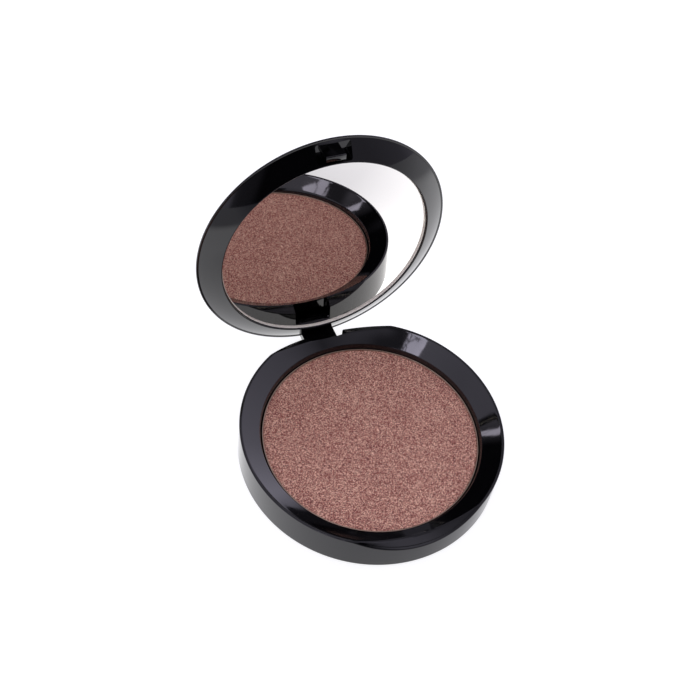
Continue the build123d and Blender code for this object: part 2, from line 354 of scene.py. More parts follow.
def prism(name, shape, low, high, axis):
    """An outline carried straight along an axis from low to high, with both ends
    closed. The outline's plane is the two other axes, in their own order."""
    count = len(shape)
    ends = np.repeat([low, high], count)[:, None]
    flat = np.concatenate([shape, shape])
    points = np.insert(flat, axis, ends[:, 0], 1)
    here = np.arange(count)
    ahead = np.roll(here, -1)
    sides = np.stack([here, ahead, ahead + count, here + count], 1).tolist()
    piece = add_piece(name, points, sides + [here[::-1].tolist(), (here + count).tolist()])
    area = np.sum(shape[:, 0] * np.roll(shape[:, 1], -1) - np.roll(shape[:, 0], -1) * shape[:, 1])
    if (area < 0) != (axis == 1):
        piece.data.flip_normals()
    return piece


def block(half, front, back):
    """The corners of a rectangle that lies evenly about the middle."""
    return np.array([(-half, front), (half, front), (half, back), (-half, back)])


def circle(y, z, radius):
    """Points round a circle in the plane of Y and Z."""
    around = np.linspace(0, 2 * np.pi, 48, endpoint=False)
    return np.stack([y + radius * np.cos(around), z + radius * np.sin(around)], 1)


def applied(piece):
    """Makes the piece's modifiers part of its mesh."""
    bpy.context.view_layer.update()
    mesh = bpy.data.meshes.new_from_object(
        piece.evaluated_get(bpy.context.evaluated_depsgraph_get())
    )
    piece.modifiers.clear()
    old, piece.data = piece.data, mesh
    bpy.data.meshes.remove(old)
    mesh.name = piece.name
    return piece


def softened(piece, width, segments=3):
    """Rounds all sharp edges of a piece."""
    step = piece.modifiers.new("Edges", "BEVEL")
    step.width = width
    step.segments = segments
    step.limit_method = "ANGLE"
    step.angle_limit = np.radians(30)
    return applied(piece)


def joined(piece, tool, operation):
    """Cuts the tool out of the piece, or unites them, and drops the tool."""
    step = piece.modifiers.new(operation, "BOOLEAN")
    step.operation = operation
    step.solver = "EXACT"
    step.object = tool
    applied(piece)
    bpy.data.objects.remove(tool)
    return piece


def finished(piece, body, node, materials, sharp=38):
    """Gives a piece its material and its smooth faces, and ties it to the frame."""
    piece.data.materials.clear()
    for material in materials:
        piece.data.materials.append(material)
    piece.data.shade_smooth()
    piece.data.set_sharp_from_angle(angle=np.radians(sharp))
    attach(piece, body)
    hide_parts(node)
    return piece


def opened():
    """The turn about the hinge pin that takes the closed lid, whose rim is at
    height zero here, to where it stands open."""
    props = bpy.context.scene.compact_lid
    pin = Vector((0, HINGE_Y, HINGE_Z))
    to_pin, to_place = Matrix.Translation(-pin), Matrix.Translation(pin)
    lift = Matrix.Translation((0, 0, BASE_HEIGHT + props.gap))
    return to_place @ Matrix.Rotation(SWING, 4, "X") @ to_pin @ lift


def flat_height(radius):
    """Height of the front and back flats at each angle and radius: they rise
    from the wall towards the middle at the flats' slope."""
    props = bpy.context.scene.compact_base
    around = np.arange(COLUMNS) * 2 * np.pi / COLUMNS
    depth = CASE_RADIUS - radius * np.abs(np.sin(around))[:, None]
    return BASE_HEIGHT - props.flat_drop + depth * np.tan(props.flat_angle)


def rim_height(radius):
    """Height of the hollow ring's face and the rim round it at a radius: the
    lesser of the ring's arc and the rim's level, with the corner eased."""
    props = bpy.context.scene.compact_base
    inner = DECK_RADIUS - props.ring_width, BASE_HEIGHT - props.ring_depth
    arc = arc_height(radius, (DECK_RADIUS, BASE_HEIGHT), inner, props.ring_sag)
    return lesser(arc, BASE_HEIGHT, props.rim_ease)


# ------------------------------------------------------------------- materials


def add_node(tree, kind, settings=(), **links):
    """Adds a shader node. Settings are its attributes or socket values, and links
    are sockets of other nodes by the name or number of the input they go to."""
    node = tree.nodes.new("ShaderNode" + kind)
    for key, value in dict(settings).items():
        if isinstance(key, str) and hasattr(node, key) and key not in node.inputs:
            setattr(node, key, value)
        else:
            node.inputs[key].default_value = value
    for key, source in links.items():
        target = node.inputs[int(key[1:])] if key[0] == "_" else node.inputs[key.replace("_", " ")]
        tree.links.new(source, target)
    return node


def new_material(name):
    """An empty material with its tree and its output."""
    material = bpy.data.materials.new(name)
    material.use_nodes = True
    tree = material.node_tree
    tree.nodes.clear()
    return material, tree, tree.nodes.new("ShaderNodeOutputMaterial")


def graded(node, stops):
    """Gives a colour ramp its positions and colours."""
    elements = node.color_ramp.elements
    while len(elements) < len(stops):
        elements.new(0.5)
    for element, (place, tint) in zip(elements, stops):
        element.position = place
        element.color = (*tint, 1)
    return node


def surfaced(made, settings, **links):
    """Ends a new material with a Principled surface, and returns the material."""
    material, tree, out = made
    shader = add_node(tree, "BsdfPrincipled", settings, **links)
    tree.links.new(shader.outputs[0], out.inputs["Surface"])
    return material


def round_light(tree, place, stops):
    """Light that depends on the compass angle alone: it runs through the given
    angles and strengths, from the front by way of the left, back and right."""
    axes = add_node(tree, "SeparateXYZ", Vector=place)
    turn = add_node(tree, "Math", {"operation": "ARCTAN2"}, _0=axes.outputs[0], _1=axes.outputs[1])
    compass = add_node(
        tree, "MapRange", {"From Min": -np.pi, "From Max": np.pi}, Value=turn.outputs[0]
    )
    tints = [(at / 360, (strength / LIGHT_SCALE,) * 3) for at, strength in stops]
    tints.append((1.0, tints[0][1]))
    ring = graded(add_node(tree, "ValToRGB", Fac=compass.outputs[0]), tints).outputs["Color"]
    return add_node(tree, "Math", {"operation": "MULTIPLY", 1: LIGHT_SCALE}, _0=ring).outputs[0]


def blended_light(tree, place, measure, rings):
    """Light of several rings. Each takes over from the last one while a measured
    value, such as a height or a distance, runs from its start to its end."""
    light = None
    for start, end, stops in rings:
        ring = round_light(tree, place, stops)
        if light:
            span = {"interpolation_type": "SMOOTHSTEP", "From Min": start, "From Max": end}
            share = add_node(tree, "MapRange", span, Value=measure).outputs[0]
            mix = add_node(tree, "Mix", {"data_type": "FLOAT"}, _0=share, _2=light, _3=ring)
            ring = mix.outputs[0]
        light = ring
    return light


def gloss_plastic():
    """ABS, moulded against a polished steel cavity. The gloss is near that of
    glass, and the slow waves of moulding bend what it reflects a little."""
    props = bpy.context.scene.compact_looks
    made = new_material("black_abs_polished_mould")
    tree = made[1]
    place = add_node(tree, "TexCoord").outputs["Object"]
    wave = add_node(tree, "TexNoise", {"Scale": 1 / (9 * MM), "Detail": 1.0}, Vector=place)
    haze = add_node(tree, "TexNoise", {"Scale": 1 / (2.5 * MM), "Detail": 5.0}, Vector=place)
    rough = add_node(
        tree,
        "MapRange",
        {"From Min": 0.35, "From Max": 0.7, "To Min": 0.035, "To Max": 0.07},
        Value=haze.outputs["Fac"],
    )
    bump = add_node(
        tree, "Bump", {"Strength": 0.4, "Distance": 0.02 * MM}, Height=wave.outputs["Fac"]
    )
    settings = {"Base Color": (*props.plastic, 1), "IOR": 1.54}
    return surfaced(made, settings, Roughness=rough.outputs[0], Normal=bump.outputs[0])


def pearl_powder():
    """Talc and mica, pressed through cloth. Mica flakes flash between matt grains,
    drawn about twice as coarse as real ones so that they show."""
    props = bpy.context.scene.compact_looks
    made = new_material("pearl_powder_pressed")
    tree = made[1]
    place = add_node(tree, "TexCoord").outputs["Object"]
    flake = add_node(tree, "TexVoronoi", {"Scale": 1 / (0.24 * MM)}, Vector=place)
    grain = add_node(tree, "TexVoronoi", {"Scale": 1 / (0.15 * MM)}, Vector=place)
    patch = add_node(tree, "TexNoise", {"Scale": 1 / (9 * MM), "Detail": 2.0}, Vector=place)
    coarse, fine = (
        add_node(tree, "SeparateColor", Color=cells.outputs["Color"]) for cells in (flake, grain)
    )
    blend = add_node(tree, "Math", {"operation": "ADD"}, _0=coarse.outputs[0], _1=fine.outputs[0])
    level = add_node(
        tree,
        "Math",
        {"operation": "MULTIPLY_ADD", 1: 0.3},
        _0=patch.outputs["Fac"],
        _2=blend.outputs[0],
    )
    level = add_node(tree, "Math", {"operation": "MULTIPLY", 1: 0.45}, _0=level.outputs[0])
    tint = graded(
        add_node(tree, "ValToRGB", Fac=level.outputs[0]),
        [(0.2, props.powder_dark), (0.5, props.powder), (0.8, props.powder_light)],
    )
    bump = add_node(
        tree, "Bump", {"Strength": 0.5, "Distance": 0.12 * MM}, Height=level.outputs[0]
    )
    settings = {"Roughness": 0.5, "Metallic": 0.25}
    return surfaced(made, settings, Base_Color=tint.outputs["Color"], Normal=bump.outputs[0])


def metal_face(name, tint, rough, pitch):
    """Metal that is uneven at the given pitch: the fine marks that drawing leaves on
    sheet and wire, or the slow waves of silvered float glass."""
    made = new_material(name)
    tree = made[1]
    place = add_node(tree, "TexCoord").outputs["Object"]
    lines = add_node(tree, "TexNoise", {"Scale": 1 / pitch, "Detail": 3.0}, Vector=place)
    spread = add_node(
        tree,
        "MapRange",
        {"From Min": 0.3, "From Max": 0.7, "To Min": rough * 0.8, "To Max": rough * 1.25},
        Value=lines.outputs["Fac"],
    )
    bump = add_node(
        tree, "Bump", {"Strength": 0.3, "Distance": 0.01 * MM}, Height=lines.outputs["Fac"]
    )
    settings = {"Base Color": (*tint, 1), "Metallic": 1.0}
    return surfaced(made, settings, Roughness=spread.outputs[0], Normal=bump.outputs[0])


def matt_face(name, tint, rough, size):
    """Glue, tape or ground glass: a matt surface with faint lumps of a given size."""
    made = new_material(name)
    tree = made[1]
    place = add_node(tree, "TexCoord").outputs["Object"]
    lumps = add_node(tree, "TexNoise", {"Scale": 1 / size, "Detail": 2.0}, Vector=place)
    bump = add_node(
        tree, "Bump", {"Strength": 0.4, "Distance": 0.05 * MM}, Height=lumps.outputs["Fac"]
    )
    settings = {"Base Color": (*tint, 1), "Roughness": rough}
    return surfaced(made, settings, Normal=bump.outputs[0])


# ------------------------------------------------------------------- operators


class BuildStage(bpy.types.Operator):
    """Lay the pale floor, light the tent and set the camera"""

    bl_idname = "compact.stage"
    bl_label = "Floor, light and camera"

    def execute(self, context):
        props = context.scene.compact_stage
        self.lay_floor(context, props)
        self.light_tent(context)
        self.set_camera(context, props)
        context.scene.view_settings.view_transform = "Standard"
        return {"FINISHED"}

    def lay_floor(self, context, props):
        """A pale floor that glows evenly as the camera sees it. To other surfaces its glow is
        painted light that changes with compass angle and distance, as FLOOR_RINGS says,
        and is lower beside the case as painted shade."""
        around = np.linspace(0, 2 * np.pi, 96, endpoint=False)
        shape = props.floor_radius * np.stack([np.cos(around), np.sin(around)], 1)
        floor = prism("floor", shape, -5 * MM, -0.01 * MM, 2)
        # The floor's material: painted light in its glow, with painted shade beside the case
        made = new_material("white_acrylic_lit_from_below")
        tree = made[1]
        place = add_node(tree, "TexCoord").outputs["Object"]
        reach = add_node(tree, "VectorMath", {"operation": "LENGTH"}, _0=place)
        # Painted light: the floor's glow as other surfaces see it, lower beside the case as painted
        # shade
        glow = blended_light(tree, place, reach.outputs["Value"], FLOOR_RINGS)
        seen = add_node(tree, "LightPath").outputs["Is Camera Ray"]
        shown = {"data_type": "FLOAT", 3: props.floor_glow}
        strength = add_node(tree, "Mix", shown, _0=seen, _2=glow).outputs[0]
        settings = {"Base Color": (*props.floor_colour, 1), "Roughness": 0.6}
        settings["Emission Color"] = (1, 1, 1, 1)
        floor.data.materials.append(surfaced(made, settings, Emission_Strength=strength))

    def light_tent(self, context):
        """Light by the direction that it comes from. The rings of SKY_RINGS, one for
        each height in the sky, blend into each other. The lamps are patches added to
        them, with dark bars along the borders of Voronoi cells."""
        world = bpy.data.worlds.new("tent")
        context.scene.world = world
        world.use_nodes = True
        tree = world.node_tree
        tree.nodes.clear()
        way = add_node(tree, "TexCoord").outputs["Generated"]
        axes = add_node(tree, "SeparateXYZ", Vector=way)
        glow = blended_light(tree, way, axes.outputs[2], SKY_RINGS)
        ripple = add_node(
            tree, "TexNoise", {"Scale": 9.0, "Detail": 5.0, "Roughness": 0.6}, Vector=way
        )
        bend = {"operation": "MULTIPLY_ADD", 1: (BAR_BEND,) * 3}
        bent = add_node(tree, "VectorMath", bend, _0=ripple.outputs["Color"], _2=way)
        borders = {"feature": "DISTANCE_TO_EDGE", "Scale": 8.0}
        panes = add_node(tree, "TexVoronoi", borders, Vector=bent.outputs[0])
        for strength, barred, corners in LAMPS:
            lamp = self.lamp(tree, way, ripple.outputs["Fac"], corners)
            bars = {"From Min": BAR[0], "From Max": BAR[1], "To Min": 1 - barred}
            clear = add_node(tree, "MapRange", bars, Value=panes.outputs["Distance"])
            lamp = add_node(tree, "Math", {"operation": "MULTIPLY"}, _0=lamp, _1=clear.outputs[0])
            added = {"operation": "MULTIPLY_ADD", 1: strength}
            glow = add_node(tree, "Math", added, _0=lamp.outputs[0], _2=glow).outputs[0]
        seen = add_node(tree, "LightPath").outputs["Is Camera Ray"]
        glow = add_node(tree, "Math", {"operation": "MAXIMUM", 1: 0.0}, _0=glow).outputs[0]
        light = add_node(tree, "Background", {"Color": (*linear(SKY_TINT), 1)}, Strength=glow)
        white = add_node(tree, "Background", {"Color": (1, 1, 1, 1), "Strength": 1.0})
        shown = add_node(tree, "MixShader", _0=seen, _1=light.outputs[0], _2=white.outputs[0])
        add_node(tree, "OutputWorld", Surface=shown.outputs[0])
        world.cycles.sample_map_resolution = 1024

    def lamp(self, tree, way, ripple, corners):
        """How far a direction lies inside a patch of sky with the given corners: the
        least of its distances to the planes through the eye and each side, made
        uneven by a ripple, as when a window is seen through leaves."""
        corners = [sky(*corner) for corner in corners]
        middle = sum(corners, Vector())
        least = None
        for one, two in zip(corners, corners[1:] + corners[:1]):
            side = one.cross(two).normalized()
            side = side if side.dot(middle) > 0 else -side
            depth = add_node(
                tree, "VectorMath", {"operation": "DOT_PRODUCT", 1: side}, _0=way
            ).outputs["Value"]
            if least:
                depth = add_node(
                    tree, "Math", {"operation": "MINIMUM"}, _0=least, _1=depth
                ).outputs[0]
            least = depth
        uneven = add_node(
            tree, "Math", {"operation": "MULTIPLY_ADD", 1: LAMP_RIPPLE}, _0=ripple, _2=least
        )
        return add_node(
            tree,
            "MapRange",
            {
                "interpolation_type": "SMOOTHSTEP",
                "From Min": LAMP_RIPPLE / 2,
                "From Max": LAMP_RIPPLE / 2 + LAMP_EDGE,
            },
            Value=uneven.outputs[0],
        ).outputs[0]

    def set_camera(self, context, props):
        """Stands the camera at its place, aims it and rolls it."""
        data = bpy.data.cameras.new("camera")
        data.lens = props.lens
        data.sensor_width = 36
        data.clip_start = 0.01
        data.clip_end = 50
        camera = bpy.data.objects.new("camera", data)
        context.scene.collection.objects.link(camera)
        place = Vector(props.camera_place)
        look = (Vector(props.camera_aim) - place).to_track_quat("-Z", "Y").to_matrix().to_4x4()
        camera.matrix_world = (
            Matrix.Translation(place) @ look @ Matrix.Rotation(props.camera_roll, 4, "Z")
        )
        context.scene.camera = camera


def sky(compass, height):
    """The direction at a compass angle from the front by way of the left, and at a
    height above the horizon, both in degrees."""
    compass, height = np.radians(compass), np.radians(height)
    flat = np.cos(height)
    return Vector((-flat * np.sin(compass), -flat * np.cos(compass), np.sin(height)))


# Rings of the sky: the sines of the heights over which each takes over from the
# last, and its radiance at compass angles from the front by way of the left. The
# numbers aren't designed: a scratch program traced what the gloss parts reflect, and
# these are its results, rounded, with some changed by eye
SKY_RINGS = [
    (0, 0, [
        (0, 0.0), (16, 0.0), (20, 0.1), (28, 0.14), (31, 0.22), (34, 0.72), (60, 0.9),
        (150, 0.9), (198, 0.9), (203, 0.03), (222, 0.05), (226, 1.2), (230, 1.9),
        (246, 1.35), (262, 1.26), (280, 1.1), (292, 0.8), (304, 0.42), (322, 0.31),
        (337, 0.33), (344, 0.05), (350, 0.0),
    ]),
    (0.42, 0.56, [
        (0, 0.0), (28, 0.0), (38, 0.5), (46, 0.95), (80, 1.05), (112, 1.0), (142, 0.92),
        (198, 0.8), (240, 1.35), (262, 1.25), (278, 1.12), (292, 1.0), (306, 0.67),
        (318, 0.25), (330, 0.42), (332, 0.95), (337, 0.8), (345, 0.5), (350, 0.0),
    ]),
    (0.77, 0.83, [
        (0, 0.6), (24, 0.78), (30, 0.5), (37, 0.22), (60, 0.25), (68, 1.2), (84, 1.12),
        (98, 1.03), (112, 0.95), (130, 0.85), (198, 0.6), (217, 0.36), (270, 0.6),
        (292, 0.62), (308, 0.62), (318, 0.3), (326, 0.4), (338, 0.5),
    ]),
    (0.89, 0.93, [
        (0, 0.35), (15, 0.18), (60, 0.18), (70, 1.1), (98, 1.05), (130, 0.85),
        (198, 0.6), (300, 0.5), (322, 0.45), (340, 0.4),
    ]),
]
# Tint of all the light from the sky
SKY_TINT = "#eee9ff"

# Rings of the floor's painted glow, found and written in the same way, by distance in metres:
# beside the object, where the lower glow is painted shade from the case, near it and far from it
FLOOR_RINGS = [
    # Beside the object: painted shade, the glow lower here than near it
    (0, 0, [
        (0, 0.5), (30, 0.58), (50, 0.7), (90, 1.05), (130, 1.25), (200, 1.5),
        (240, 1.5), (270, 1.3), (310, 0.68), (340, 0.56),
    ]),
    (0.05, 0.09, [
        (0, 0.9), (30, 1.1), (130, 1.3), (200, 1.5), (240, 1.7), (270, 1.75),
        (290, 1.25), (310, 0.85), (340, 0.9),
    ]),
    (0.17, 0.26, [
        (0, 0.0), (20, 0.05), (30, 0.3), (50, 0.3), (70, 0.6), (90, 0.8), (200, 0.8),
        (232, 1.4), (270, 0.8), (290, 0.7), (310, 0.35), (330, 0.1),
    ]),
]
# The strength that a colour ramp's white stands for
LIGHT_SCALE = 2.0

# Lamps, and a dark screen: radiance, how dark the bars before it are, and corners as
# compass angle and height, found like the rings
LAMPS = [
    (6.2, 0.9, [(45, 71), (76, 76), (68, 63), (48, 63)]),
    (6.2, 0.3, [(39, 52), (32, 52), (33.3, 43.5), (38.8, 44)]),
    (-1.2, 0.0, [(333.5, 45), (333.5, 54), (346, 54), (346, 45)]),
]
# How uneven the lamps' edges are and how wide, and how far their bars are bent, all
# as parts of the distance, and where a bar ends and clear light begins, as parts of
# a cell
LAMP_RIPPLE = 0.08
LAMP_EDGE = 0.012
BAR_BEND = 0.12
BAR = 0.015, 0.06


class BuildCase(bpy.types.Operator):
    """Turn the outer cup of the base and cut its notch"""

    bl_idname = "compact.case"
    bl_label = "Case"

    def execute(self, context):
        props = context.scene.compact_base
        inside = CASE_RADIUS - props.land
        wall = CASE_RADIUS - props.wall
        foot = CASE_RADIUS - props.foot_round - props.foot_width
        recess = props.foot_recess
        bend = eased(0, np.pi / 2, 12)
        under = [(0, recess), (foot - 2 * recess, recess), (foot, 0)]
        under += [(CASE_RADIUS - props.foot_round * 2, 0)]
        under += list(
            zip(
                CASE_RADIUS - props.foot_round * (1 - np.sin(bend)),
                props.foot_round * (1 - np.cos(bend)),
            )
        )
        radius, height = same_all_round(under)
        rim = eased(0, np.pi / 2, 8)
        rim_radius = np.tile(CASE_RADIUS - props.rim_round * (1 - np.cos(rim)), (COLUMNS, 1))
        land_radius = np.tile(eased(CASE_RADIUS - props.rim_round, inside, 4)[1:], (COLUMNS, 1))
        top = np.concatenate([rim_radius, land_radius], 1)
        drop = np.concatenate([props.rim_round * (1 - np.sin(rim)), np.zeros(3)])
        level = lesser(rim_height(top), flat_height(top), props.edge) - drop
        hidden = [(inside, props.ledge), (wall, props.ledge), (wall, props.floor), (0, props.floor)]
        low_radius, low_height = same_all_round(hidden)
        piece = turned(
            "case_base",
            np.concatenate([radius, top, low_radius], 1),
            np.concatenate([height, level, low_height], 1),
        )
        self.cut_hinge(props, piece)
        finished(piece, "base", "base_shell", [MATERIALS["plastic"]])
        return {"FINISHED"}

    def cut_hinge(self, props, piece):
        """Adds the ears, then cuts the notch between them and the pin's bore."""
        front = CASE_RADIUS - props.notch_depth - props.ear_front
        ears = block(props.ear_span / 2, front, CASE_RADIUS - props.wall - props.ear_back)
        joined(piece, prism("ears", ears, props.floor / 2, props.ledge - LAP, 2), "UNION")
        gap = block(props.notch_width / 2, front - PAST, 2 * CASE_RADIUS)
        joined(piece, prism("notch", gap, props.floor, 2 * BASE_HEIGHT, 2), "DIFFERENCE")
        bore = circle(HINGE_Y, HINGE_Z, props.pin_radius + PIN_PLAY)
        joined(piece, prism("bore", bore, -props.bore_depth, CASE_RADIUS, 0), "DIFFERENCE")


class BuildDeck(bpy.types.Operator):
    """Turn the hollow ring and the well, and cut the notch and the catch's seat"""

    bl_idname = "compact.deck"
    bl_label = "Deck"

    def execute(self, context):
        props = context.scene.compact_base
        inner = DECK_RADIUS - props.ring_width
        step_z = BASE_HEIGHT - props.ring_depth
        well = inner - props.step_width
        pan_z = step_z - props.step_height
        crossing = self.flat_edge(inner)
        beside = inner + BESIDE_STEP
        bend = corner(
            (beside, rim_height(beside)), (inner, step_z), (well, pan_z), props.step_round, 9
        )
        band = eased(0, 1, 12)
        flat_rows = DECK_RADIUS + (crossing - DECK_RADIUS) * band
        ring_rows = crossing + (bend[0, 0] - crossing) * eased(0, 1, 34)
        radius = np.concatenate([flat_rows, ring_rows[:, 1:-1]], 1)
        height = lesser(rim_height(radius), flat_height(radius), props.edge)
        edge_drop = np.zeros(radius.shape[1])
        edge_drop[0] = props.seam
        floor = DECK_LOW + props.deck_floor
        inner_rows = list(bend) + [(well, pan_z), (well, floor), (0, floor)]
        outside = well + props.well_wall
        outer_rows = [
            (0, DECK_LOW),
            (outside, DECK_LOW),
            (outside, props.ledge),
            (DECK_RADIUS, props.ledge),
        ]
        in_radius, in_height = same_all_round(inner_rows)
        out_radius, out_height = same_all_round(outer_rows)
        piece = turned(
            "inner_deck",
            np.concatenate([out_radius, radius, in_radius], 1),
            np.concatenate([out_height, height - edge_drop, in_height], 1),
        )
        rounds = [props.slot_round, props.slot_round, 0, 0]
        gap = block(props.notch_width / 2, CASE_RADIUS - props.notch_depth, 2 * CASE_RADIUS)
        tool = prism("notch", outline(gap, rounds), props.ledge - PAST, 2 * BASE_HEIGHT, 2)
        joined(piece, tool, "DIFFERENCE")
        self.add_catch(props, piece, step_z - props.seat_sink, rounds)
        finished(piece, "base", "base_deck", [MATERIALS["plastic"]])
        return {"FINISHED"}

    def add_catch(self, props, piece, floor, rounds):
        """Sinks the seat into the ring, then adds the nib with its lead-in slope."""
        front = props.seat_front - CASE_RADIUS
        seat = outline(block(props.seat_width / 2, front, front + 12 * MM), rounds)
        joined(piece, prism("seat", seat, floor, 2 * BASE_HEIGHT, 2), "DIFFERENCE")
        low = floor + props.nib_height
        tip = front + props.nib_reach
        root = front - props.nib_root
        high = low + props.nib_edge
        nib = np.array([(root, low), (tip, low), (tip, high), (root, high + props.nib_slope)])
        joined(piece, prism("nib", nib, -props.nib_width / 2, props.nib_width / 2, 0), "UNION")

    def flat_edge(self, inner):
        """Radius at each angle where the flat meets the ring's face, found by
        halving, or just inside the rim where they don't meet."""
        low = np.full((COLUMNS, 1), inner)
        high = np.full((COLUMNS, 1), DECK_RADIUS - INSIDE_RIM)
        for _ in range(40):
            middle = (low + high) / 2
            below = rim_height(middle) < flat_height(middle)
            low = np.where(below, middle, low)
            high = np.where(below, high, middle)
        return low


# Pitches of the powder's grain and of the slow waves that bend it, as length per
# radian, and the widths over which it fades out at the edge and the middle
GRAIN_PITCH = 0.41 * MM, 0.37 * MM
BEND_PITCH = 1.7 * MM, 2.3 * MM
EDGE_FADE = 2 * MM
MIDDLE_FADE = 6 * MM


class BuildPowder(bpy.types.Operator):
    """Press the powder and draw the pan round it"""

    bl_idname = "compact.powder"
    bl_label = "Powder and pan"

    def execute(self, context):
        props = context.scene.compact_base
        inside = PAN_RADIUS - props.pan_metal
        floor = PAN_LOW + props.pan_metal
        lip = 0.45 * props.pan_metal
        path = [
            (0, PAN_LOW),
            (PAN_RADIUS, PAN_LOW),
            (PAN_RADIUS, PAN_TOP),
            (inside, PAN_TOP),
            (inside, floor),
            (0, floor),
        ]
        rounds = [props.pan_round, lip, lip, props.pan_round - props.pan_metal]
        counts = [10, 6, 6, 8]
        bends = [
            corner(*path[i : i + 3], rounds[i], counts[i]) for i in range(len(rounds))
        ]
        profile = np.concatenate([path[:1], *bends, path[-1:]])
        pan = turned("drawn_pan", *same_all_round(profile))
        finished(pan, "base", "powder_pan", [MATERIALS["pan"]])
        self.press(props)
        return {"FINISHED"}

    def press(self, props):
        """The cake: flat with a rounded edge, and a grain. The grain is the product of
        two sine waves, one along each axis, each bent by a slower sine wave of the
        other axis, and it fades out towards the edge and the middle."""
        foot, side, middle = (CAKE_RADIUS, CAKE_LOW), (CAKE_RADIUS, CAKE_TOP), (0, CAKE_TOP)
        bottom = corner((0, CAKE_LOW), foot, side, props.cake_foot, 6)
        edge = corner(foot, side, middle, props.cake_round, 8)
        radius, height = same_all_round(np.concatenate([[(0, CAKE_LOW)], bottom, edge]))
        across = np.tile(np.linspace(CAKE_RADIUS - props.cake_round, 0, 100)[1:], (COLUMNS, 1))
        around = np.arange(COLUMNS)[:, None] * 2 * np.pi / COLUMNS
        x, y = across * np.cos(around), across * np.sin(around)
        wave = np.sin(x / GRAIN_PITCH[0] + 1.3 * np.sin(y / BEND_PITCH[0]))
        wave *= np.sin(y / GRAIN_PITCH[1] + 1.1 * np.sin(x / BEND_PITCH[1]))
        from_edge = np.clip((CAKE_RADIUS - across) / EDGE_FADE, 0, 1)
        from_middle = np.clip(across / MIDDLE_FADE, 0, 1)
        top = CAKE_TOP - props.grain / 2 * from_edge * from_middle * (1 - wave)
        cake = turned(
            "powder_cake",
            np.concatenate([radius, across], 1),
            np.concatenate([height, top], 1),
        )
        finished(cake, "base", "pressed_powder", [MATERIALS["powder"]], 60)


class BuildCover(bpy.types.Operator):
    """Turn the lid's domed cover"""

    bl_idname = "compact.cover"
    bl_label = "Cover"

    def execute(self, context):
        props = context.scene.compact_lid
        seat = CASE_RADIUS - props.land
        slope = np.tan(props.bevel_angle)
        shelf = CASE_RADIUS - props.bevel_rise / slope
        hollow = CASE_RADIUS - props.wall / np.sin(props.bevel_angle)
        rise = props.bevel_rise - props.wall
        outer = self.crown(props, CASE_RADIUS, shelf, props.height, props.bevel_rise)
        inner = self.crown(props, hollow, hollow - rise / slope, props.height - props.wall, rise)
        rim = list(
            corner((seat, 0), (CASE_RADIUS, 0), (CASE_RADIUS, props.side), props.rim_round, 8)
        )
        lip = [(seat, props.side), (seat, props.lip_edge), (seat + props.lip_edge, 0)]
        profile = inner[::-1] + lip + rim + outer
        piece = turned("lid_cover", *same_all_round(profile))
        piece.data.transform(opened())
        finished(piece, "lid", "lid_shell", [MATERIALS["plastic"]])
        return {"FINISHED"}

    def crown(self, props, radius, shelf, height, rise):
        """Half of the cover's outline from its side to the axis: a bevel up to a
        rounded shelf, then an arc that runs level over the middle. The rounding
        aims at a point on the arc near its outer end."""
        climb = height - props.side - rise
        dome = (shelf**2 + climb**2) / (2 * climb)
        lean = np.arcsin(shelf / dome)
        aim = lean * 0.9
        near = dome * np.sin(aim), height - dome * (1 - np.cos(aim))
        bend = corner((radius, props.side), (shelf, props.side + rise), near, props.bevel_round, 10)
        start = np.arcsin(bend[-1, 0] / dome)
        fall = np.linspace(start, 0, 24)[1:]
        top = list(zip(dome * np.sin(fall), height - dome * (1 - np.cos(fall))))
        return [(radius, props.side)] + list(bend) + top


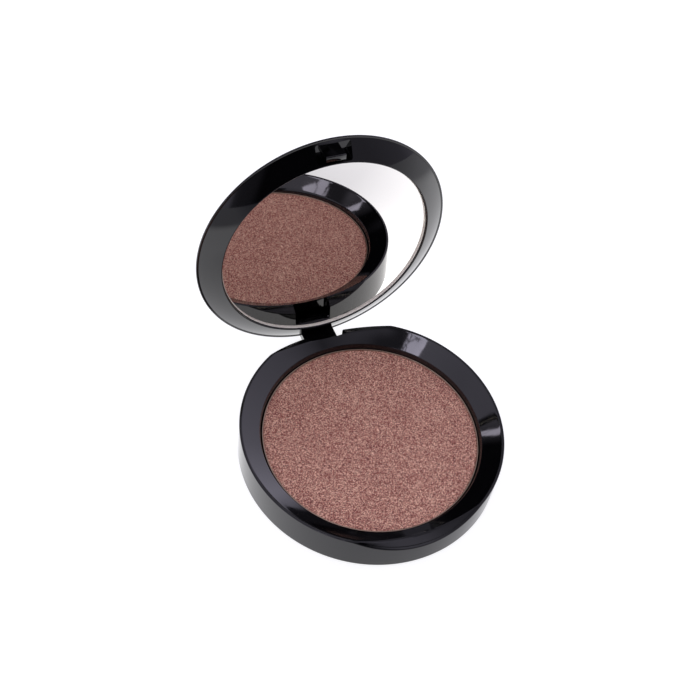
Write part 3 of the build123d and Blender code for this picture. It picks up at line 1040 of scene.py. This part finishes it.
class BuildMirrorRing(bpy.types.Operator):
    """Turn the raised ring round the mirror, with the catch's hook and the lug"""

    bl_idname = "compact.mirror_ring"
    bl_label = "Mirror ring"

    def execute(self, context):
        props = context.scene.compact_lid
        well = MIRROR_RADIUS + props.mirror_gap
        rise = props.nest_rise
        back = props.mirror_recess - rise + props.mirror_thickness + props.tape
        edges = (FRAME_RADIUS, 0), (well, -rise)
        beside = well + BESIDE_STEP
        beside = beside, arc_height(beside, *edges, props.nest_bulge)
        tip = corner((well, back), (well, -rise), beside, props.nest_tip, 10)
        out = eased(tip[-1, 0], FRAME_RADIUS, 30)[1:]
        face = list(zip(out, arc_height(out, *edges, props.nest_bulge)))
        profile = [(0, back), (well, back)] + list(tip) + face
        profile += [(FRAME_RADIUS, props.side), (0, props.side)]
        piece = turned("mirror_ring", *same_all_round(profile))
        self.cut_pocket(props, piece, well)
        self.add_hook(props, piece)
        self.add_lug(props, piece)
        piece.data.transform(opened())
        finished(piece, "lid", "mirror_frame", [MATERIALS["plastic"]])
        return {"FINISHED"}

    def cut_pocket(self, props, piece, well):
        """Cuts the rounded pocket that the hook stands in, at the ring's front."""
        front = props.pocket_outer_lip - FRAME_RADIUS
        pocket = block(props.pocket_width / 2, front, -well - props.pocket_inner_lip)
        shape = outline(pocket, [props.pocket_round] * 4)
        tool = prism("pocket", shape, -BASE_HEIGHT, -props.pocket_roof, 2)
        joined(piece, tool, "DIFFERENCE")

    def add_hook(self, props, piece):
        """Adds the hook: a plate that hangs from the pocket's roof, with a barb that
        points to the front and has both its corners cut."""
        front = -props.hook_front
        back = front + props.hook_thickness
        tip = -props.hook_reach
        roof = LAP - props.pocket_roof
        shape = np.array(
            [
                (back, roof),
                (back, tip),
                (front - props.barb_reach + props.barb_nose, tip),
                (front - props.barb_reach, tip + props.barb_nose),
                (front - props.barb_reach, tip + props.barb_height - props.barb_nose),
                (front, tip + props.barb_height),
                (front, roof),
            ]
        )
        hook = prism("hook", shape, -props.hook_width / 2, props.hook_width / 2, 0)
        joined(piece, softened(hook, props.hook_edge, 2), "UNION")

    def add_lug(self, props, piece):
        """The lug: a boss round the pin, a shin and a neck up to the rim."""
        pin = HINGE_Z - BASE_HEIGHT - props.gap
        boss = props.lug_radius
        bend = np.linspace(-np.pi, 0, 40)
        heel = list(zip(HINGE_Y + boss * np.cos(bend), pin + boss * np.sin(bend)))
        neck = CASE_RADIUS - props.lug_front
        shin = [
            (HINGE_Y + boss, -boss),
            (FRAME_RADIUS, 0),
            (FRAME_RADIUS - props.lug_root / 2, props.lug_root),
            (neck, props.lug_root),
            (neck, -props.lug_knee - props.lug_step),
            (HINGE_Y - boss, -props.lug_knee - boss),
        ]
        lug = prism("lug", np.array(heel + shin), -props.lug_width / 2, props.lug_width / 2, 0)
        softened(lug, props.lug_edge, 4)
        hole = bpy.context.scene.compact_base.pin_radius + props.bore_gap
        bore = circle(HINGE_Y, pin, hole)
        joined(lug, prism("bore", bore, -CASE_RADIUS, CASE_RADIUS, 0), "DIFFERENCE")
        joined(piece, lug, "UNION")


class BuildMirror(bpy.types.Operator):
    """Cut the round mirror and grind its edge"""

    bl_idname = "compact.mirror"
    bl_label = "Mirror"

    def execute(self, context):
        """The disc's front, with the silvering sunk into it, leans by the mirror's
        tilt and turn, and its back stays level. Its rim and back are ground."""
        props = context.scene.compact_lid
        face = props.mirror_recess - props.nest_rise
        back = face + props.mirror_thickness
        edge = props.mirror_edge
        silver = face + props.silver_depth
        inside = MIRROR_RADIUS - edge
        front = [
            (0, silver),
            (inside / 2, silver),
            (inside, silver),
            (inside, face + edge / 3),
            (inside + edge / 3, face),
            (MIRROR_RADIUS - edge / 3, face),
            (MIRROR_RADIUS, face + edge / 3),
        ]
        rear = [(MIRROR_RADIUS, back - edge), (inside, back), (0, back)]
        radius, height = same_all_round(front + rear)
        around = np.arange(COLUMNS)[:, None] * 2 * np.pi / COLUMNS
        lean = radius * np.sin(around) * np.sin(props.mirror_tilt)
        lean += radius * np.cos(around) * np.sin(props.mirror_turn)
        lean[:, len(front) :] = 0
        piece = turned("mirror_disc", radius, height - lean)
        middle = np.empty(len(piece.data.polygons) * 3)
        piece.data.polygons.foreach_get("center", middle)
        away = np.empty(len(piece.data.polygons) * 3)
        piece.data.polygons.foreach_get("normal", away)
        reach = np.hypot(*middle.reshape(-1, 3)[:, :2].T)
        ground = (reach > inside - edge / 4) | (away.reshape(-1, 3)[:, 2] > 0)
        piece.data.transform(opened())
        finished(
            piece,
            "lid",
            "mirror_glass",
            [MATERIALS["silver"], MATERIALS["glass_edge"]],
            20,
        )
        piece.data.polygons.foreach_set("material_index", ground.astype(np.int32))
        return {"FINISHED"}


class DressHidden(bpy.types.Operator):
    """Give the pin, the glue and the tape their finishes"""

    bl_idname = "compact.hidden"
    bl_label = "Pin, glue and tape"

    def execute(self, context):
        finishes = {"hinge_pin": "pin", "pan_glue_pad": "glue", "mirror_tape": "tape"}
        for node, material in finishes.items():
            mesh = frame["nodes"][node].data
            mesh.materials.clear()
            mesh.materials.append(MATERIALS[material])
        return {"FINISHED"}


class CompactPanel(bpy.types.Panel):
    """The compact's pieces, and the sizes and colours that can be changed."""

    bl_idname = "VIEW3D_PT_compact"
    bl_label = "Powder compact"
    bl_space_type = "VIEW_3D"
    bl_region_type = "UI"
    bl_category = "Compact"

    def draw(self, context):
        for name, group in GROUPS.items():
            box = self.layout.box()
            for key in group.__annotations__:
                box.prop(getattr(context.scene, name), key)
        for operator in OPERATORS:
            self.layout.operator(operator.bl_idname)


GROUPS = {
    "compact_base": CompactBase,
    "compact_lid": CompactLid,
    "compact_looks": CompactLooks,
    "compact_stage": CompactStage,
}
OPERATORS = [
    BuildStage,
    BuildCase,
    BuildDeck,
    BuildPowder,
    BuildCover,
    BuildMirrorRing,
    BuildMirror,
    DressHidden,
]
MATERIALS = {}


def mix_materials():
    """Makes every finish once, from the colours of CompactLooks."""
    looks = bpy.context.scene.compact_looks
    MATERIALS.update(
        plastic=gloss_plastic(),
        powder=pearl_powder(),
        # Aluminium sheet, drawn to a cup: a soft warm gleam along its edge
        pan=metal_face("aluminium_drawn", looks.pan, 0.32, 0.15 * MM),
        # Steel wire, drawn cold: a clear narrow highlight with fine marks
        pin=metal_face("steel_cold_drawn", looks.pin, 0.25, 0.1 * MM),
        # Float glass, silvered: a clear picture, bent only by waves 30 mm wide
        silver=metal_face("silvered_glass", looks.silver, 0.012, 30 * MM),
        # Glass edge, ground: a pale frosted line round the mirror
        glass_edge=matt_face("glass_ground", looks.glass_edge, 0.4, 0.2 * MM),
        # Hot melt glue, cast in place: pale, a little shiny, with soft lumps
        glue=matt_face("hot_melt_glue_cast", looks.glue, 0.35, 1.5 * MM),
        # Foam tape, cut by a die: white and quite matt
        tape=matt_face("foam_tape_die_cut", looks.tape, 0.8, 0.4 * MM),
    )


def register():
    """Registers the classes and hangs the property groups on the scene."""
    for item in (*GROUPS.values(), *OPERATORS, CompactPanel):
        bpy.utils.register_class(item)
    for name, group in GROUPS.items():
        setattr(bpy.types.Scene, name, PointerProperty(type=group))


def unregister():
    """Takes the property groups and the classes away again."""
    for name in GROUPS:
        delattr(bpy.types.Scene, name)
    for item in (CompactPanel, *OPERATORS[::-1], *GROUPS.values()):
        bpy.utils.unregister_class(item)


def main():
    register()
    mix_materials()
    for operator in OPERATORS:
        group, name = operator.bl_idname.split(".")
        getattr(getattr(bpy.ops, group), name)()


if __name__ == "__main__":
    main()
